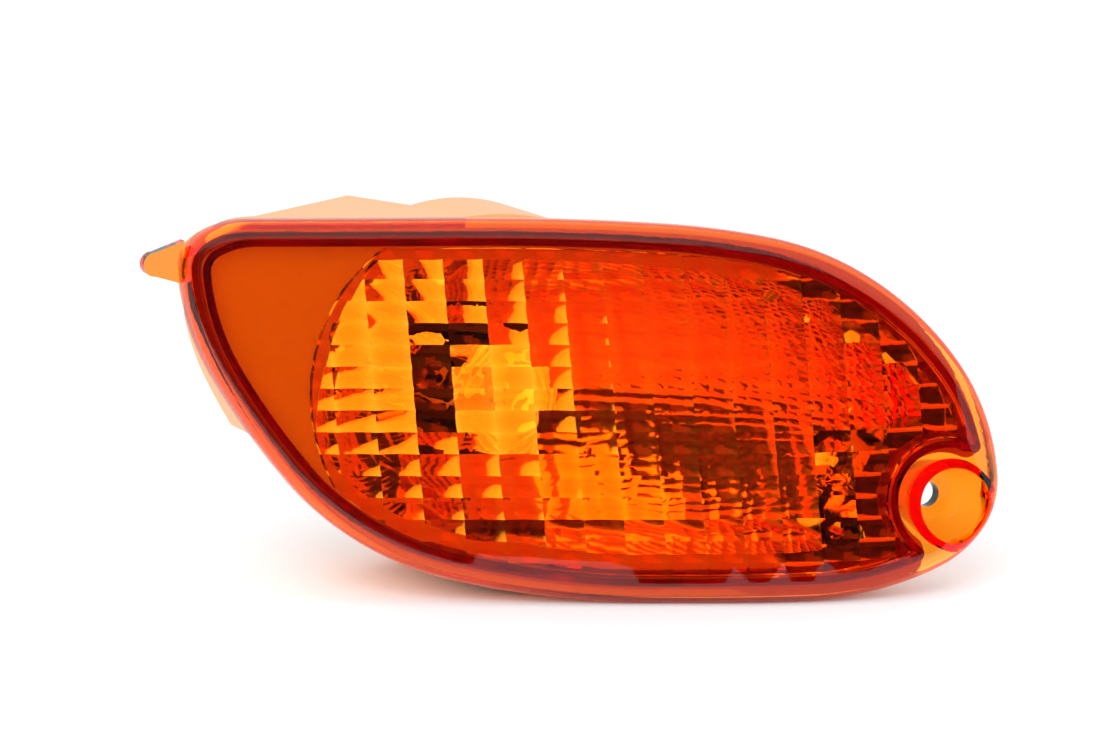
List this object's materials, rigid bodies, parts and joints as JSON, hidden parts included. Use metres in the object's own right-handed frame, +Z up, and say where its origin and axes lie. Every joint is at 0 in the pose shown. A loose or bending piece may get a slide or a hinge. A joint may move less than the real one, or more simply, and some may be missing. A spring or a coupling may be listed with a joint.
{
  "type": "vehicle indicator lamp",
  "caption": "Amber front indicator lamp: drop-shaped lens with pillow optics, screw pocket and tongue, on a round-backed housing with reflector, bulb and holder.",
  "frame": {"origin": "centre of the fixing-screw hole, on the seat of the screw head", "axes": "-Y forward out of the lens, along the screw and the bulb axis; +X towards the inner end; +Z up"},
  "size_m": [0.1956, 0.1314, 0.0939],
  "materials": {
    "amber_acrylic": "transparent amber, polished",
    "sealing_compound": "matt",
    "housing_plastic": "moulded, fine satin",
    "bright_metallising": "vacuum metallised",
    "bulb_glass": "clear",
    "tungsten": "drawn wire",
    "steel": "plated",
    "brass": "bright",
    "dark_glass": "gloss",
    "solder": "dull",
    "holder_plastic": "moulded, satin",
    "rubber": "matt"
  },
  "bodies": {
    "root": {"lens": "amber_acrylic", "lens_seal": "sealing_compound", "housing": "housing_plastic", "reflector": "bright_metallising", "bulb_glass": "bulb_glass", "bulb_stem": "bulb_glass", "filament": "tungsten", "filament_supports": "steel", "bulb_cap": "brass", "bayonet_pins": "brass", "cap_insulator": "dark_glass", "cap_contact": "solder", "holder_body": "holder_plastic", "holder_gasket": "rubber", "socket_sleeve": "steel", "contact_plate": "brass", "contact_carrier": "dark_glass", "contact_spring": "steel", "live_terminal": "brass", "earth_terminal": "brass", "breather_cap": "rubber"}
  },
  "joints": []
}
